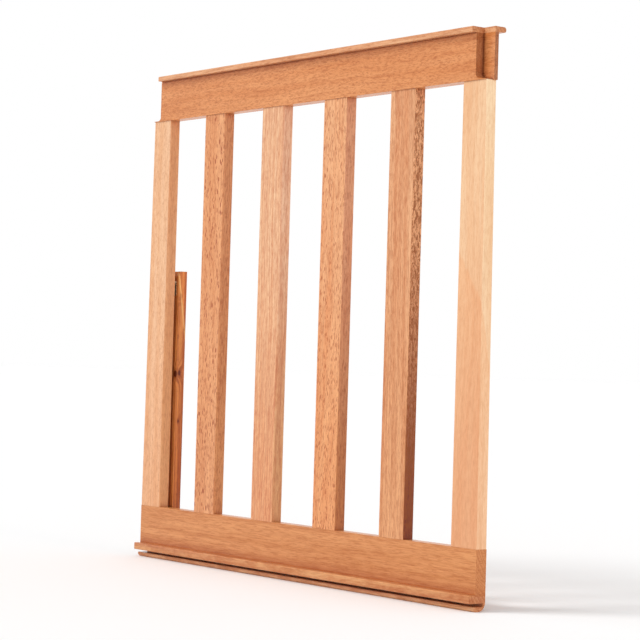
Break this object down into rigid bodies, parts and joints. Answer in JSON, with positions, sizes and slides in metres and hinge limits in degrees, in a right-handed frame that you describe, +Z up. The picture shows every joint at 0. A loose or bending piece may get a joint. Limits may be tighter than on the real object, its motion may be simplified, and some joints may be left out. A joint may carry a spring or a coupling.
{
  "type": "table easel",
  "caption": "Folding wooden table easel: a slatted panel with a narrow grooved picture ledge and a capped top rail, propped by a rear stand hinged behind its stiles.",
  "frame": {"origin": "on the floor, at the centre of the folded easel's base", "axes": "+Z up, -Y out of the front of the panel, +X to the right of someone facing the panel"},
  "size_m": [0.533, 0.0324, 0.514],
  "materials": {
    "panel_beech": "satin oiled",
    "stile_beech": "satin oiled",
    "rail_beech": "satin oiled",
    "stand_beech": "satin oiled, darker",
    "dowel_beech": "unfinished",
    "hinge_steel": "nickel plated",
    "bumper_rubber": "matt"
  },
  "bodies": {
    "panel": {"left_stile": "stile_beech", "right_stile": "stile_beech", "slat_1": "panel_beech", "slat_2": "panel_beech", "slat_3": "panel_beech", "slat_4": "panel_beech", "top_rail": "rail_beech", "top_cap": "rail_beech", "bottom_rail": "rail_beech", "ledge_moulding": "rail_beech", "cap_dowels": "dowel_beech", "ledge_dowels": "dowel_beech", "left_hinge_fixed_leaf": "hinge_steel", "right_hinge_fixed_leaf": "hinge_steel", "left_hinge_pin": "hinge_steel", "right_hinge_pin": "hinge_steel", "panel_hinge_screws": "hinge_steel"},
    "stand": {"left_leg": "stand_beech", "right_leg": "stand_beech", "cross_bar": "stand_beech", "cross_bar_dowels": "dowel_beech", "left_hinge_moving_leaf": "hinge_steel", "right_hinge_moving_leaf": "hinge_steel", "stand_hinge_screws": "hinge_steel", "fold_bumpers": "bumper_rubber"}
  },
  "joints": [
    {"name": "stand_fold", "type": "hinge", "parent": "panel", "child": "stand", "pos_m": [0, 0.00475, 0.2945], "axis": [1, 0, 0], "range_deg": [0, 25]}
  ]
}
